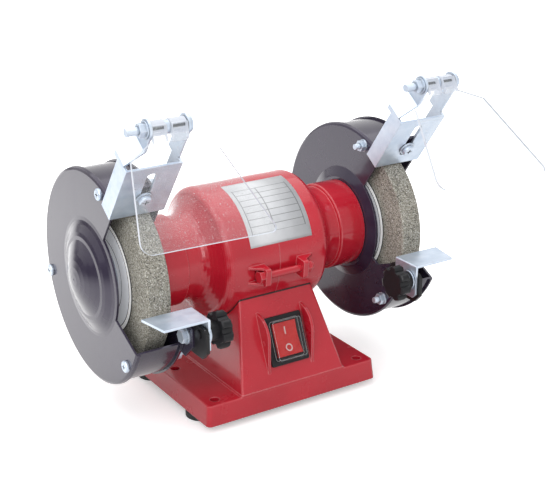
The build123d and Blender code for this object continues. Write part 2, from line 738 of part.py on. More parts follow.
# ---------------------------------------------------------------- rotor
def shaft():
    seat = BEARING_X - BEARING_WIDTH / 2
    half = [(0, SHAFT_RADIUS), (seat, SHAFT_RADIUS), (seat, BEARING_INNER),
            (ARBOR_SHOULDER_X, BEARING_INNER), (ARBOR_SHOULDER_X, ARBOR_RADIUS),
            (SHAFT_END_X - SHAFT_EDGE, ARBOR_RADIUS), (SHAFT_END_X, ARBOR_RADIUS - SHAFT_EDGE)]
    other = [(-x, radius) for x, radius in reversed(half[1:])]
    return turned(half + [(SHAFT_END_X, 0), (-SHAFT_END_X, 0)] + other)


def rotor_core():
    end = CORE_HALF + END_RING
    step = ROTOR_RADIUS - END_RING
    rim = ROTOR_RADIUS - END_RING_STEP
    return turned([(-end, SHAFT_RADIUS), (end, SHAFT_RADIUS), (end, rim), (CORE_HALF, step),
                   (CORE_HALF, ROTOR_RADIUS), (-CORE_HALF, ROTOR_RADIUS), (-CORE_HALF, step),
                   (-end, rim)])


def wheel():
    bore = ARBOR_RADIUS + WHEEL_BORE_GAP
    rim = WHEEL_RADIUS - WHEEL_EDGE
    return turned([(WHEEL_INNER_X, bore), (WHEEL_OUTER_X, bore), (WHEEL_OUTER_X, rim),
                   (WHEEL_OUTER_X - WHEEL_EDGE, WHEEL_RADIUS),
                   (WHEEL_INNER_X + WHEEL_EDGE, WHEEL_RADIUS), (WHEEL_INNER_X, rim)])


def blotter(low):
    high = low + BLOTTER_THICK
    bore = ARBOR_RADIUS + WHEEL_BORE_GAP
    return turned([(low, bore), (low, BLOTTER_RADIUS), (high, BLOTTER_RADIUS), (high, bore)])


def inner_flange():
    bore = ARBOR_RADIUS + CORE_GAP
    face = WHEEL_INNER_X - BLOTTER_THICK
    back = face - FLANGE_THICK
    land = FLANGE_RADIUS - FLANGE_LAND
    sunk = face - FLANGE_RECESS
    return turned([(ARBOR_SHOULDER_X, bore), (ARBOR_SHOULDER_X, FLANGE_HUB), (back, FLANGE_HUB),
                   (back, FLANGE_RADIUS - FLANGE_EDGE), (back + FLANGE_EDGE, FLANGE_RADIUS),
                   (face, FLANGE_RADIUS), (face, land), (sunk, land - FLANGE_EDGE), (sunk, bore)])


def outer_flange():
    bore = ARBOR_RADIUS + CORE_GAP
    face = WHEEL_OUTER_X + BLOTTER_THICK
    back = face + FLANGE_THICK
    land = FLANGE_RADIUS - FLANGE_LAND
    sunk = face + FLANGE_RECESS
    return turned([(sunk, bore), (sunk, land - FLANGE_EDGE), (face, land), (face, FLANGE_RADIUS),
                   (face + FLANGE_RIM, FLANGE_RADIUS), (back, FLANGE_RADIUS - FLANGE_SLOPE),
                   (back, bore)])


def arbor_nut():
    low = WHEEL_OUTER_X + BLOTTER_THICK + FLANGE_THICK
    high = low + NUT_THICK
    corner = NUT_HEX / math.sqrt(3)
    nut = hex_x(NUT_HEX, low, high, 0, SHAFT_Z)
    cone = turned([(low - OVERRUN, 0), (low - OVERRUN, corner + OVERRUN),
                   (high - NUT_CHAMFER, corner), (high, NUT_HEX / 2), (high, 0)])
    nut = nut & cone
    return nut - rod_x(ARBOR_RADIUS, low - OVERRUN, high + OVERRUN, 0, SHAFT_Z)


# ---------------------------------------------------------------- guards
def mouth_cutter(x_low, x_high, inner_radius):
    far = 2 * GUARD_RADIUS
    points = []
    for step in range(MOUTH_STEPS + 1):
        angle = MOUTH_BOTTOM + (MOUTH_TOP - MOUTH_BOTTOM) * step / MOUTH_STEPS
        points.append(ring_point(far, angle))
    cutter = yz_prism([(0, SHAFT_Z)] + points, x_low, x_high)
    return cutter - rod_x(inner_radius, x_low - OVERRUN, x_high + OVERRUN, 0, SHAFT_Z)


def dome_curve(root_x, base_radius, crease):
    points = []
    for step in range(DOME_STEPS + 1):
        part = step / DOME_STEPS
        swing = (1 - math.cos(math.pi * part)) / 2
        points.append((root_x + DOME_SHOULDER * swing, base_radius - (base_radius - crease) * part))
    for step in range(1, DOME_STEPS + 1):
        part = step / DOME_STEPS
        rise = DOME_SHOULDER + (DOME_HEIGHT - DOME_SHOULDER) * math.sin(math.pi * part / 2)
        points.append((root_x + rise, crease * (1 - part)))
    return points


def drilled(plate, x, circle, angles):
    for angle in angles:
        y, z = ring_point(circle, angle)
        reach = LIP_LENGTH + SHEET
        plate -= rod_x(SCREW_RADIUS + SCREW_HOLE_GAP, x - reach, x + reach, y, z)
    return plate


def outer_cover():
    x = GUARD_OUTER_X
    reach = DOME_HEIGHT + SHEET
    outside = [(x - LIP_LENGTH, GUARD_RADIUS), (x - LIP_ROUND, GUARD_RADIUS),
               (x - LIP_MIDDLE, GUARD_RADIUS - LIP_MIDDLE), (x, GUARD_RADIUS - LIP_ROUND)]
    outside += dome_curve(x, MOUTH_RADIUS, DOME_CREASE)
    inside = dome_curve(x - SHEET, MOUTH_RADIUS - SHEET_FLANK, DOME_CREASE - SHEET_FLANK)
    inside.reverse()
    band = BAND_OUTER + BAND_GAP
    inside += [(x - SHEET, band), (x - LIP_LENGTH, band)]
    cover = turned(outside + inside)
    cover -= mouth_cutter(x - reach, x + reach, MOUTH_RADIUS)
    return drilled(cover, x, SCREW_CIRCLE, SCREW_ANGLES)


def support_ear(x):
    outline = [(REST_BOLT_Y + run, REST_BOLT_Z + rise) for run, rise in SUPPORT_EAR]
    return yz_prism(outline, x, x + SHEET)


def inner_guard():
    x = GUARD_INNER_X
    neck = NECK_END_X
    reach = x - neck + SHEET
    outer_side = [(x + LIP_LENGTH, GUARD_RADIUS), (x + LIP_ROUND, GUARD_RADIUS),
                  (x + LIP_MIDDLE, GUARD_RADIUS - LIP_MIDDLE), (x, GUARD_RADIUS - LIP_ROUND),
                  (x, PLATE_RISE_RADIUS), (neck + SHEET / 3, PLATE_FACE_RADIUS + SHEET),
                  (neck, PLATE_FACE_RADIUS), (neck, PLATE_BORE)]
    band = BAND_OUTER + BAND_GAP
    back_side = [(neck + SHEET, PLATE_BORE), (neck + SHEET, PLATE_FACE_RADIUS - SHEET_FLANK),
                 (neck + SHEET + SHEET / 3, PLATE_FACE_RADIUS + SHEET_FLANK),
                 (x + SHEET, PLATE_RISE_RADIUS - SHEET_FLANK), (x + SHEET, band),
                 (x + LIP_LENGTH, band)]
    plate = turned(outer_side + back_side)
    plate -= mouth_cutter(x - reach, x + reach, MOUTH_RADIUS)
    plate += support_ear(x)
    plate = drilled(plate, x, SCREW_CIRCLE, SCREW_ANGLES)
    plate = drilled(plate, x, MOUNT_CIRCLE, MOUNT_ANGLES)
    return plate - rod_x(STUD_RADIUS, x - reach, x + reach, REST_BOLT_Y, REST_BOLT_Z)


def mouth_frame():
    turn = math.radians(MOUTH_TOP)
    along = (0, -math.cos(turn), math.sin(turn))
    forward = (0, -math.sin(turn), -math.cos(turn))
    return along, forward


def local_spot(reach, forward_shift):
    along, forward = mouth_frame()
    y = reach * along[1] + forward_shift * forward[1]
    z = SHAFT_Z + reach * along[2] + forward_shift * forward[2]
    return y, z


def local_plane(x, reach, forward_shift):
    y, z = local_spot(reach, forward_shift)
    return Plane(origin=(x, y, z), x_dir=(1, 0, 0), z_dir=mouth_frame()[1])


def local_prism(points, t_low, t_high):
    plane = local_plane(0, 0, t_low)
    sign = -1 if plane.y_dir.Z < 0 else 1
    outline = [(x, sign * reach) for x, reach in points]
    return extrude(plane * outline_of(outline), amount=t_high - t_low)


def local_box(x_low, x_high, r_low, r_high, t_low, t_high):
    points = [(x_low, r_low), (x_high, r_low), (x_high, r_high), (x_low, r_high)]
    return local_prism(points, t_low, t_high)


def guard_band():
    low = GUARD_INNER_X + SHEET + BAND_GAP
    high = GUARD_OUTER_X - SHEET - BAND_GAP
    band = turned([(low, BAND_INNER), (low, BAND_OUTER), (high, BAND_OUTER), (high, BAND_INNER)])
    band -= mouth_cutter(low - OVERRUN, high + OVERRUN, FLANGE_RADIUS)
    band += local_box(BRACKET_X - TAB_HALF, BRACKET_X + TAB_HALF, BAND_INNER, TAB_REACH, -SHEET, 0)
    hole = local_plane(BRACKET_X, CLAMP_REACH, -SHEET - OVERRUN)
    return band - extrude(hole * Circle(CLAMP_RADIUS), amount=SHEET + 2 * OVERRUN)


def cross_recess(plane, length, width, depth):
    cross = Rectangle(length, width) + Rectangle(width, length)
    return extrude(plane * cross, amount=depth)


def cover_screw(angle):
    y, z = ring_point(SCREW_CIRCLE, angle)
    x = GUARD_OUTER_X
    shank = rod_x(SCREW_RADIUS, GUARD_INNER_X - SCREW_TAIL, x, y, z)
    cap = rod_x(SCREW_HEAD, x, x + SCREW_HEAD_HEIGHT, y, z)
    cap = fillet(cap.edges().group_by(Axis.X)[-1], SCREW_HEAD_ROUND)
    bottom = yz_plane(x + SCREW_HEAD_HEIGHT - CROSS_DEPTH, y, z)
    cap -= cross_recess(bottom, CROSS_LENGTH, CROSS_WIDTH, CROSS_DEPTH + OVERRUN)
    return shank + cap


def cover_nut(angle):
    y, z = ring_point(SCREW_CIRCLE, angle)
    x = GUARD_INNER_X
    seat = x - COVER_WASHER_THICK
    tail = rod_x(SCREW_RADIUS, x - SCREW_TAIL, x + OVERRUN, y, z)
    washer = rod_x(COVER_WASHER_RADIUS, seat, x, y, z) - tail
    nut = hex_x(COVER_NUT_HEX, seat - COVER_NUT_THICK, seat, y, z) - tail
    return [washer, nut]


def mount_screw(angle):
    y, z = ring_point(MOUNT_CIRCLE, angle)
    face = NECK_END_X + SHEET
    head = rod_x(MOUNT_HEAD_RADIUS, face, face + MOUNT_HEAD_HEIGHT, y, z)
    return head + rod_x(SCREW_RADIUS, NECK_END_X - MOUNT_SCREW_DEPTH, face, y, z)


# ---------------------------------------------------------------- tool rest group
def rest_support():
    outline = [(SUPPORT_BACK_Y - SUPPORT_CORNER, SUPPORT_TOP_Z),
               (SUPPORT_BACK_Y, SUPPORT_TOP_Z - SUPPORT_CORNER),
               (SUPPORT_BACK_Y, SUPPORT_LOW_Z + SUPPORT_CHAMFER),
               (SUPPORT_BACK_Y - SUPPORT_CHAMFER, SUPPORT_LOW_Z),
               (SUPPORT_FRONT_Y + SUPPORT_CHAMFER, SUPPORT_LOW_Z),
               (SUPPORT_FRONT_Y, SUPPORT_LOW_Z + SUPPORT_CHAMFER),
               (SUPPORT_FRONT_Y, SUPPORT_TOP_Z - SUPPORT_CORNER),
               (SUPPORT_FRONT_Y + SUPPORT_CORNER, SUPPORT_TOP_Z)]
    plate = yz_prism(outline, SUPPORT_X, GUARD_INNER_X)
    low = SUPPORT_X - OVERRUN
    high = GUARD_INNER_X + OVERRUN
    plate -= rod_x(STUD_RADIUS + MOVING_GAP, low, high, KNOB_Y, KNOB_Z)
    return plate - rod_x(STUD_RADIUS, low, high, REST_BOLT_Y, REST_BOLT_Z)


def rest_bolt():
    x = GUARD_INNER_X + SHEET
    seat = x + WASHER_THICK
    bolt = rod_x(STUD_RADIUS, SUPPORT_X, x, REST_BOLT_Y, REST_BOLT_Z)
    washer = rod_x(REST_WASHER_RADIUS, x, seat, REST_BOLT_Y, REST_BOLT_Z)
    head = hex_x(REST_BOLT_HEX, seat, seat + REST_BOLT_HEAD, REST_BOLT_Y, REST_BOLT_Z)
    return bolt + washer + head


def rest_plate_x():
    high = SUPPORT_X - MOVING_GAP
    return high - REST_THICK, high


def pivot_washer():
    high = rest_plate_x()[0] - MOVING_GAP
    low = high - WASHER_THICK
    ring = rod_x(PIVOT_WASHER_RADIUS, low, high, KNOB_Y, KNOB_Z)
    return ring - rod_x(STUD_RADIUS + MOVING_GAP, low - OVERRUN, high + OVERRUN, KNOB_Y, KNOB_Z)


def tool_rest():
    low, high = rest_plate_x()
    plate_points = [(low, REST_BACK_Y), (low, REST_FRONT_Y),
                    (REST_TIP_X - REST_TIP_TAPER, REST_FRONT_Y), (REST_TIP_X, REST_BACK_Y)]
    plate = Plane.XY.offset(REST_TOP_Z - REST_THICK) * outline_of(plate_points)
    rest = extrude(plate, amount=REST_THICK)
    corner = REST_FLANGE_CORNER
    rest += yz_prism([(REST_BACK_Y, REST_TOP_Z), (REST_BACK_Y, REST_FLANGE_LOW_Z + corner),
                      (REST_BACK_Y - corner, REST_FLANGE_LOW_Z),
                      (REST_FRONT_Y + corner, REST_FLANGE_LOW_Z),
                      (REST_FRONT_Y, REST_FLANGE_LOW_Z + corner), (REST_FRONT_Y, REST_TOP_Z)],
                     low, high)
    bend = rest.edges().filter_by(Axis.Y).group_by(Axis.Z)[-1].sort_by(Axis.X)[0]
    rest = fillet(bend, REST_BEND)
    half = STUD_RADIUS + MOVING_GAP
    cut_low = low - OVERRUN
    cut_high = high + OVERRUN
    back = SLOT_BACK_Y - half
    front = SLOT_FRONT_Y + half
    slot = yz_prism([(back, KNOB_Z - half), (back, KNOB_Z + half), (front, KNOB_Z + half),
                     (front, KNOB_Z - half)], cut_low, cut_high)
    for y in (back, front):
        slot += rod_x(half, cut_low, cut_high, y, KNOB_Z)
    return rest - slot


def rest_knob():
    start = rest_plate_x()[0] - WASHER_THICK - 2 * MOVING_GAP
    hub_end = start - KNOB_HUB_LENGTH
    head_end = hub_end - KNOB_HEAD_LENGTH
    knob = rod_x(KNOB_HUB_RADIUS, hub_end - SINK / 2, start, KNOB_Y, KNOB_Z)
    head = rod_x(KNOB_RADIUS, head_end, hub_end, KNOB_Y, KNOB_Z)
    for step in range(KNOB_LOBES):
        turn = math.radians(step * 360.0 / KNOB_LOBES + 90.0)
        y = KNOB_Y + KNOB_RADIUS * math.cos(turn)
        z = KNOB_Z + KNOB_RADIUS * math.sin(turn)
        head += rod_x(LOBE_RADIUS, head_end, hub_end, y, z)
    reach = KNOB_RADIUS + LOBE_RADIUS
    crown = Polygon((head_end, 0), (head_end, reach - KNOB_CROWN),
                    (head_end + KNOB_CROWN_ROUND / 3, reach - KNOB_CROWN / 3),
                    (head_end + KNOB_CROWN_ROUND, reach), (hub_end - KNOB_EDGE, reach),
                    (hub_end, reach - KNOB_EDGE), (hub_end, 0), align=None)
    knob += head & (Pos(0, KNOB_Y, KNOB_Z) * revolve(crown, axis=Axis.X))
    return knob + rod_x(STUD_RADIUS, start - SINK / 2, GUARD_INNER_X + STUD_END, KNOB_Y, KNOB_Z)


# ---------------------------------------------------------------- shield bracket
def bracket_ears(centre, ear_back, ear_front):
    low_x = centre - BRACKET_HALF
    high_x = centre + BRACKET_HALF
    root = BRACKET_HIGH - EAR_ROOT
    ear_x = centre + LEFT_EAR_X
    step_low = BRACKET_HIGH + EAR_STEP_LOW
    step_high = BRACKET_HIGH + EAR_STEP_HIGH
    top = AXLE_REACH + EAR_RADIUS
    bent = [(low_x, root), (low_x, step_low), (ear_x, step_high), (ear_x, top),
            (ear_x + SHEET, top), (ear_x + SHEET, step_high - EAR_BEND),
            (low_x + SHEET, step_low - EAR_BEND), (low_x + SHEET, root)]
    ears = local_prism(bent, ear_back, ear_front)
    ears += local_box(high_x - SHEET, high_x, root, top, ear_back, ear_front)
    y, z = local_spot(AXLE_REACH, -AXLE_BACK)
    keep = rod_x(EAR_RADIUS, low_x - OVERRUN, high_x + OVERRUN, y, z)
    keep += local_box(low_x - OVERRUN, high_x + OVERRUN, root - OVERRUN, AXLE_REACH, ear_back, ear_front)
    return ears & keep


def shield_bracket(centre):
    low_x = centre - BRACKET_HALF
    high_x = centre + BRACKET_HALF
    front = MOVING_GAP + SHEET
    back = front - BRACKET_DEPTH
    part = local_box(low_x, high_x, BRACKET_LOW, BRACKET_HIGH, MOVING_GAP, front)
    for x in (low_x, high_x - SHEET):
        part += local_box(x, x + SHEET, BRACKET_LOW, BRACKET_HIGH, back, front)
    part += bracket_ears(centre, -AXLE_BACK - EAR_RADIUS, -AXLE_BACK + EAR_RADIUS)
    y, z = local_spot(AXLE_REACH, -AXLE_BACK)
    part -= rod_x(AXLE_RADIUS, low_x - OVERRUN, high_x + OVERRUN, y, z)
    low = SLOT_LOW + SLOT_HALF
    high = SLOT_HIGH - SLOT_HALF
    slot = local_box(centre - SLOT_HALF, centre + SLOT_HALF, low, high, -OVERRUN, front + OVERRUN)
    for reach in (low, high):
        end = local_plane(centre, reach, -OVERRUN)
        slot += extrude(end * Circle(SLOT_HALF), amount=front + 2 * OVERRUN)
    return part - slot


def clamp_screw(centre):
    rear = -SHEET
    washer_t = MOVING_GAP + SHEET + MOVING_GAP
    head_t = washer_t + WASHER_THICK
    tail = local_plane(centre, CLAMP_REACH, rear - CLAMP_TAIL)
    shank = extrude(tail * Circle(CLAMP_RADIUS), amount=washer_t - rear + CLAMP_TAIL)
    washer = local_plane(centre, CLAMP_REACH, washer_t) * Circle(CLAMP_WASHER_RADIUS)
    washer = extrude(washer, amount=WASHER_THICK)
    head = local_plane(centre, CLAMP_REACH, head_t) * Circle(CLAMP_HEAD_RADIUS)
    head = extrude(head, amount=CLAMP_HEAD_HEIGHT)
    head = fillet(head.faces().sort_by(Axis.Y)[0].edges(), CLAMP_HEAD_ROUND)
    bottom = local_plane(centre, CLAMP_REACH, head_t + CLAMP_HEAD_HEIGHT - CLAMP_CROSS_DEPTH)
    head -= cross_recess(bottom, CLAMP_CROSS_LENGTH, CLAMP_CROSS_WIDTH, CLAMP_CROSS_DEPTH + OVERRUN)
    nut_plane = local_plane(centre, CLAMP_REACH, rear - CLAMP_NUT_THICK)
    nut = extrude(nut_plane * hexagon(CLAMP_NUT_HEX), amount=CLAMP_NUT_THICK)
    bore = nut_plane.offset(-OVERRUN) * Circle(CLAMP_RADIUS)
    nut -= extrude(bore, amount=CLAMP_NUT_THICK + 2 * OVERRUN)
    return [shank + washer + head, nut]


def axle_bolt(centre):
    y, z = local_spot(AXLE_REACH, -AXLE_BACK)
    right = centre + BRACKET_HALF
    bolt = rod_x(AXLE_RADIUS, centre - BRACKET_HALF - AXLE_TAIL, right, y, z)
    head = rod_x(AXLE_HEAD_RADIUS, right, right + AXLE_HEAD_HEIGHT, y, z)
    return bolt + fillet(head.edges().group_by(Axis.X)[-1], AXLE_HEAD_ROUND)


def axle_nut(centre):
    y, z = local_spot(AXLE_REACH, -AXLE_BACK)
    left = centre + LEFT_EAR_X
    seat = left - WASHER_THICK
    collar = centre + COLLAR_X
    bolt = axle_bolt(centre)
    return [rod_x(AXLE_WASHER_RADIUS, seat, left, y, z) - bolt,
            hex_x(AXLE_NUT_HEX, seat - AXLE_NUT_THICK, seat, y, z) - bolt,
            rod_x(COLLAR_RADIUS, collar, collar + COLLAR_LENGTH, y, z) - bolt]


def eye_shield(centre, tilt):
    outline = [(-SHIELD_LEFT, -SHIELD_LEFT_TOP), (-SHIELD_LEFT, -SHIELD_LEFT_DROP),
               (SHIELD_RIGHT, -SHIELD_RIGHT_DROP), (SHIELD_BEND_X, -SHIELD_BEND_DROP),
               (SHIELD_CROWN_RIGHT, -SHIELD_CROWN_DROP), (-SHIELD_CROWN_LEFT, -SHIELD_CROWN_DROP)]
    sheet = extrude(Plane.XZ.offset(SHIELD_OFFSET) * outline_of(outline), amount=SHIELD_THICK)
    upright = sheet.edges().filter_by(Axis.Y)
    sheet = fillet(upright.group_by(Axis.X)[0].sort_by(Axis.Z)[0], SHIELD_LEFT_CORNER)
    upright = sheet.edges().filter_by(Axis.Y)
    sheet = fillet(upright.group_by(Axis.X)[-1], SHIELD_RIGHT_CORNER)
    left_low = LEFT_EAR_X + SHEET + MOVING_GAP
    right_high = BRACKET_HALF - SHEET - MOVING_GAP
    left_high = COLLAR_X - MOVING_GAP
    right_low = COLLAR_X + COLLAR_LENGTH + MOVING_GAP
    face = -SHIELD_OFFSET - SHIELD_THICK
    for low, high in ((left_low, left_high), (right_low, right_high)):
        sheet += rod_x(KNUCKLE_RADIUS, low, high, 0, 0)
        sheet += yz_prism([(face, WEB_HEIGHT), (-SHIELD_OFFSET / 2, WEB_FRONT),
                           (-SHIELD_OFFSET / 2, -WEB_LOW), (-SHIELD_OFFSET, -WEB_DROP),
                           (face, -WEB_DROP)], low, high)
    sheet -= rod_x(AXLE_RADIUS + AXLE_FIT, -BRACKET_HALF, BRACKET_HALF, 0, 0)
    y, z = local_spot(AXLE_REACH, -AXLE_BACK)
    return Pos(centre, y, z) * Rot(-tilt, 0, 0) * sheet


# ---------------------------------------------------------------- switch
def switch_body():
    face = switch_plane()
    frame = face * RectangleRounded(BEZEL_WIDTH, BEZEL_HEIGHT, BEZEL_CORNER)
    bezel = extrude(frame, amount=BEZEL_THICK)
    bezel = fillet(bezel.faces().sort_by(Axis.Y)[0].edges().filter_by(GeomType.LINE), BEZEL_EDGE)
    body = extrude(face.offset(-BODY_DEPTH) * Rectangle(BODY_WIDTH, BODY_HEIGHT), amount=BODY_DEPTH)
    part = bezel + body
    well = face.offset(-WELL_DEPTH) * Rectangle(WELL_WIDTH, WELL_HEIGHT)
    part -= extrude(well, amount=WELL_DEPTH + BEZEL_THICK + OVERRUN)
    for x in (-TERMINAL_X, TERMINAL_X):
        end = face.offset(-BODY_DEPTH - TERMINAL_LENGTH)
        blade = end * Pos(x, 0) * Rectangle(TERMINAL_THICK, TERMINAL_WIDTH)
        part += extrude(blade, amount=TERMINAL_LENGTH + SINK / 2)
    return part


def switch_cap():
    face = switch_plane().offset(BEZEL_THICK)
    skin = extrude(face * RectangleRounded(CAP_WIDTH, CAP_HEIGHT, CAP_CORNER), amount=CAP_RISE)
    skin = fillet(skin.faces().sort_by(Axis.Y)[0].edges(), CAP_ROUND)
    inner_width = CAP_WIDTH - 2 * CAP_WALL
    inner_height = CAP_HEIGHT - 2 * CAP_WALL
    hollow = face * RectangleRounded(inner_width, inner_height, CAP_INNER_CORNER)
    return skin - extrude(hollow, amount=CAP_RISE - CAP_WALL)


def switch_rocker():
    face = switch_plane()
    half = [(ROCKER_SHOULDER_UP, ROCKER_SHOULDER), (ROCKER_HALF, ROCKER_CROWN),
            (ROCKER_HALF, -ROCKER_ROOT), (ROCKER_HEEL_UP, -ROCKER_HEEL)]
    outline = [(0, ROCKER_SADDLE)] + half + [(-up, out) for up, out in reversed(half)]
    lean = math.radians(FACE_LEAN)
    turn = math.radians(-ROCKER_TILT)
    points = []
    for up, out in outline:
        up_turned = up * math.cos(turn) - out * math.sin(turn)
        out_turned = up * math.sin(turn) + out * math.cos(turn)
        y = face.origin.Y - out_turned * math.cos(lean) + up_turned * math.sin(lean)
        z = face.origin.Z + out_turned * math.sin(lean) + up_turned * math.cos(lean)
        points.append((y, z))
    return yz_prism(points, -ROCKER_WIDTH / 2, ROCKER_WIDTH / 2)


# ---------------------------------------------------------------- all pieces
def both_sides(pieces):
    return pieces + [flipped(piece) for piece in pieces]


def sided(build, name):
    piece = build()
    save(piece, "right_" + name)
    save(flipped(piece), "left_" + name)


save(base_casting(), "base_casting")
save(bottom_plate(), "bottom_plate")
for spot, (foot_x, foot_y) in foot_spots().items():
    save(foot(foot_x, foot_y), "foot_" + spot)
save([foot_screw(foot_x, foot_y) for foot_x, foot_y in foot_spots().values()], "foot_screws")
save([motor_screw(-MOTOR_SCREW_X), motor_screw(MOTOR_SCREW_X)], "motor_screws")
save(cord_grommet(), "cord_grommet")

sided(motor_shell, "motor_shell")
save([tie_bolt(y, z) for y, z in tie_spots()], "tie_bolts")
save([tie_nut(y, z) for y, z in tie_spots()], "tie_nuts")
save(stator_core(), "stator_core")
save(both_sides([winding()]), "stator_windings")
save(capacitor(), "capacitor")
outer_race = bearing_outer()
save(outer_race, "right_bearing")
save([flipped(piece) for piece in outer_race], "left_bearing")
save(both_sides([bearing_inner()]), "bearing_inner_rings")

save(shaft(), "shaft")
save(rotor_core(), "rotor_core")
sided(wheel, "wheel")
save(both_sides([blotter(WHEEL_INNER_X - BLOTTER_THICK), blotter(WHEEL_OUTER_X)]), "blotters")
sided(inner_flange, "inner_flange")
sided(outer_flange, "outer_flange")
sided(arbor_nut, "arbor_nut")

sided(outer_cover, "outer_cover")
sided(inner_guard, "inner_guard")
sided(guard_band, "guard_band")
save(both_sides([cover_screw(angle) for angle in SCREW_ANGLES]), "cover_screws")
cover_nuts = []
for angle in SCREW_ANGLES:
    cover_nuts.extend(cover_nut(angle))
save(both_sides(cover_nuts), "cover_nuts")
save(both_sides([mount_screw(angle) for angle in MOUNT_ANGLES]), "guard_mount_screws")

sided(rest_support, "rest_support")
save(both_sides([rest_bolt()]), "rest_bolts")
sided(pivot_washer, "rest_washer")
sided(tool_rest, "tool_rest")
sided(rest_knob, "rest_knob")

save(clamp_screw(-BRACKET_X) + clamp_screw(BRACKET_X), "bracket_clamp_screws")
for side, centre, tilt in (("left", -BRACKET_X, LEFT_SHIELD_TILT), ("right", BRACKET_X, RIGHT_SHIELD_TILT)):
    save(shield_bracket(centre), side + "_shield_bracket")
    save(axle_bolt(centre), side + "_axle_bolt")
    save(axle_nut(centre), side + "_axle_nut")
    save(eye_shield(centre, tilt), side + "_eye_shield")

save(switch_body(), "switch_body")
save(switch_cap(), "switch_cap")
save(switch_rocker(), "switch_rocker")
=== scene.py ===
import bmesh
import bpy
import math
from mathutils import Matrix, Vector


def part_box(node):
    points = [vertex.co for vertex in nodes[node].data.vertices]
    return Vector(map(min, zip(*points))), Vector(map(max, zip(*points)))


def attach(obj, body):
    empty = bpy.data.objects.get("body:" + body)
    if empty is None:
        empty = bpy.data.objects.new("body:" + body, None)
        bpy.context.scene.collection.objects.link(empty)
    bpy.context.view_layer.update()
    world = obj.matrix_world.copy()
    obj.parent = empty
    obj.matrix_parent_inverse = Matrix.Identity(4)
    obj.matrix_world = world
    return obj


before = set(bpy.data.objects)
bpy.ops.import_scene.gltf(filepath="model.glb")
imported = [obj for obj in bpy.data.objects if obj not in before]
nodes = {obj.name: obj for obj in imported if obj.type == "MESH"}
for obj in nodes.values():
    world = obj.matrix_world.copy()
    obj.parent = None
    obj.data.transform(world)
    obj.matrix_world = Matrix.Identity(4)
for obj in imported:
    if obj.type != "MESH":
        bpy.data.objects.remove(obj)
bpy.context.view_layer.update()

# The base is one iron casting: a skirt plate, a leaning pedestal and the saddle that carries
# the motor. It is sprayed with glossy red enamel. Its edges get a painted highlight of paler red,
# its corners and crevices get painted shade, and where the casting meets the housing a dark band
# is painted as the shadow in the seam.
MM = 0.001
SHAFT_LOW, SHAFT_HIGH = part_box("shaft")
SHAFT_HEIGHT = (SHAFT_LOW.z + SHAFT_HIGH.z) / 2
CAN_RADIUS = 46.0 * MM
SEAM_SHADOW_WIDTH = 0.9 * MM


class Signal:
    """A value that varies over a surface; arithmetic and comparison on it add Math nodes."""

    def __init__(self, finish, socket):
        self.finish = finish
        self.socket = socket

    def math(self, operation, *values):
        sockets = dict(enumerate(values))
        return self.finish.node("ShaderNodeMath", {"operation": operation}, sockets)

    def __add__(self, other):
        return self.math("ADD", self, other)

    def __radd__(self, other):
        return self.math("ADD", other, self)

    def __sub__(self, other):
        return self.math("SUBTRACT", self, other)

    def __rsub__(self, other):
        return self.math("SUBTRACT", other, self)

    def __mul__(self, other):
        return self.math("MULTIPLY", self, other)

    def __rmul__(self, other):
        return self.math("MULTIPLY", other, self)

    def __truediv__(self, other):
        return self.math("DIVIDE", self, other)

    def __rtruediv__(self, other):
        return self.math("DIVIDE", other, self)

    def __pow__(self, other):
        return self.math("POWER", self, other)

    def __gt__(self, other):
        return self.math("GREATER_THAN", self, other)

    def __lt__(self, other):
        return self.math("LESS_THAN", self, other)

    def __abs__(self):
        return self.math("ABSOLUTE", self)


class Shading:
    """Makes nodes in one tree, and sets or links their sockets."""

    def __init__(self, tree):
        self.tree = tree

    def set(self, socket, value):
        if isinstance(value, Signal):
            self.tree.links.new(value.socket, socket)
        elif isinstance(value, tuple) and len(value) == 3 and socket.type == "RGBA":
            socket.default_value = (*value, 1.0)
        else:
            socket.default_value = value

    def node(self, kind, settings, sockets, output=0):
        made = self.tree.nodes.new(kind)
        for name, value in settings.items():
            setattr(made, name, value)
        for name, value in sockets.items():
            self.set(made.inputs[name], value)
        return Signal(self, made.outputs[output])

    def limit(self, signal):
        return self.ramp(signal, 0.0, 1.0)

    def ramp(self, signal, low, high, start=0.0, end=1.0):
        return self.node("ShaderNodeMapRange", {"clamp": True},
                         {"Value": signal, "From Min": low, "From Max": high,
                          "To Min": start, "To Max": end})


